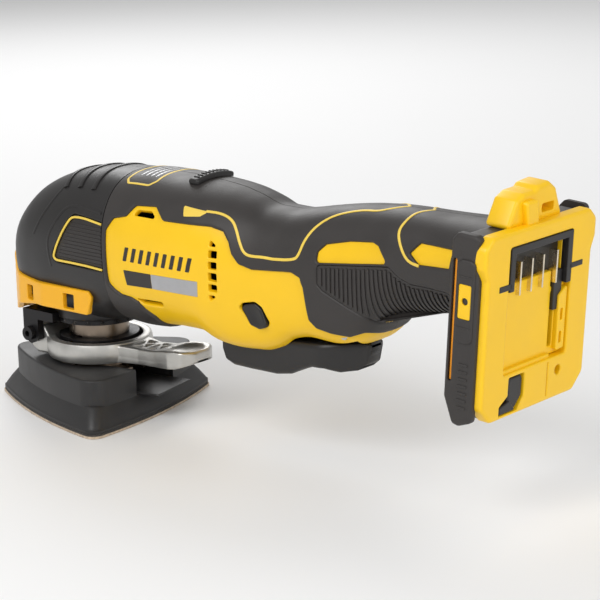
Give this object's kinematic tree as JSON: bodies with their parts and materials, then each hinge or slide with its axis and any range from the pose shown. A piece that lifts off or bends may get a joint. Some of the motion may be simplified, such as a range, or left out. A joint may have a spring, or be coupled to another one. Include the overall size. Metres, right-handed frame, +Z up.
{
  "type": "cordless oscillating multi-tool",
  "caption": "Bare cordless oscillating multi-tool: yellow clamshell with charcoal rubber grip, tool-free clamp lever, delta sanding pad and battery slide foot.",
  "frame": {"origin": "on the output spindle's axis, at the abrasive face of the sanding sheet", "axes": "+X rearwards along the tool to the battery foot, +Y to the tool's right side, +Z up along the spindle"},
  "size_m": [0.3153, 0.1007, 0.1384],
  "materials": {
    "yellow_nylon": "satin safety-yellow glass-filled nylon",
    "grip_rubber": "matt charcoal thermoplastic rubber",
    "black_nylon": "matt black nylon",
    "pad_rubber": "near-black moulded polyurethane",
    "cast_alloy": "bead-blasted cast aluminium",
    "machined_steel": "turned and oiled steel",
    "black_steel": "black oxide",
    "screw_steel": "zinc plated steel",
    "spring_steel": "oil-tempered spring steel",
    "bearing_steel": "ground bearing steel",
    "abrasive_paper": "hook-backed abrasive sheet",
    "hook_fabric": "hook-and-loop fabric",
    "lens": "clear moulded lens",
    "circuit_board": "green circuit board",
    "laminations": "stacked electrical steel",
    "copper": "enamelled copper",
    "magnet": "nickel-plated magnet",
    "contact_metal": "plated copper alloy",
    "lead_sheath": "silicone-sheathed lead"
  },
  "bodies": {
    "housing": {"left_housing": "yellow_nylon", "right_housing": "yellow_nylon", "left_grip_rubber": "grip_rubber", "right_grip_rubber": "grip_rubber", "housing_screws": "screw_steel", "gear_case": "cast_alloy", "head_cover": "black_nylon", "light_bracket": "yellow_nylon", "work_light_lens": "lens", "work_light_board": "circuit_board", "spindle_lower_bearing": "bearing_steel", "spindle_upper_bearing": "bearing_steel", "dust_seal": "grip_rubber", "lever_pivot_bolt": "black_steel", "lever_spring": "spring_steel", "stator_core": "laminations", "stator_coils": "copper", "motor_front_bracket": "cast_alloy", "motor_rear_bracket": "black_nylon", "motor_front_bearing": "bearing_steel", "motor_rear_bearing": "bearing_steel", "motor_sensor_board": "circuit_board", "trigger_pin": "screw_steel", "switch_module": "black_nylon", "trigger_spring": "spring_steel", "speed_board": "circuit_board", "control_module": "black_nylon", "battery_foot": "yellow_nylon", "right_bumper": "grip_rubber", "left_bumper": "grip_rubber", "hook_plate_right": "yellow_nylon", "hook_plate_left": "yellow_nylon", "terminal_block": "black_nylon", "terminal_blades": "contact_metal", "battery_catch": "black_nylon", "motor_leads": "lead_sheath", "battery_leads": "lead_sheath"},
    "output": {"spindle": "machined_steel", "output_fork": "machined_steel", "sanding_sheet": "abrasive_paper", "pad_hook_layer": "hook_fabric", "pad_mounting_plate": "machined_steel", "pad_body": "pad_rubber", "clamp_spring": "spring_steel"},
    "clamp": {"clamp_rod": "machined_steel", "clamp_flange": "machined_steel", "clamp_nut": "machined_steel", "release_ring": "black_steel", "release_pin": "screw_steel"},
    "rotor": {"motor_shaft": "machined_steel", "eccentric_bearing": "bearing_steel", "counterweight": "machined_steel", "cooling_fan": "black_nylon", "rotor_core": "laminations", "rotor_magnet": "magnet"},
    "lever": {"clamp_lever": "cast_alloy"},
    "trigger": {"trigger": "black_nylon"},
    "lock": {"lock_button": "black_nylon"},
    "selector": {"speed_selector": "black_nylon"}
  },
  "joints": [
    {"name": "output_oscillation", "type": "hinge", "parent": "housing", "child": "output", "pos_m": [0, 0, 0.05], "axis": [0, 0, 1], "range_deg": [-1.6, 1.6]},
    {"name": "clamp_slide", "type": "slide", "parent": "output", "child": "clamp", "axis": [0, 0, -1], "range_m": [0, 0.003], "deforming": ["clamp_spring"]},
    {"name": "lever_squeeze", "type": "hinge", "parent": "housing", "child": "lever", "pos_m": [-0.0235, 0, 0.037], "axis": [0, -1, 0], "range_deg": [0, 6.5], "stiffness_Nm_per_rad": 6, "springref_deg": -2.86},
    {"name": "motor_spin", "type": "hinge", "parent": "housing", "child": "rotor", "pos_m": [0.06, 0, 0.086], "axis": [1, 0, 0], "continuous": true},
    {"name": "trigger_press", "type": "hinge", "parent": "housing", "child": "trigger", "pos_m": [0.166, 0, 0.064], "axis": [0, 1, 0], "range_deg": [0, 4], "stiffness_Nm_per_rad": 4, "springref_deg": -4.58, "deforming": ["trigger_spring"]},
    {"name": "lock_press", "type": "slide", "parent": "housing", "child": "lock", "axis": [0, 1, 0], "range_m": [0, 0.0035]},
    {"name": "speed_select", "type": "hinge", "parent": "housing", "child": "selector", "pos_m": [0.077, 0, 0.0752], "axis": [1, 0, 0], "range_deg": [-3.7, 3.7]}
  ],
  "couplings": [
    {"joint": "clamp_slide", "follows": "lever_squeeze", "m_per_rad": 0.026442}
  ]
}
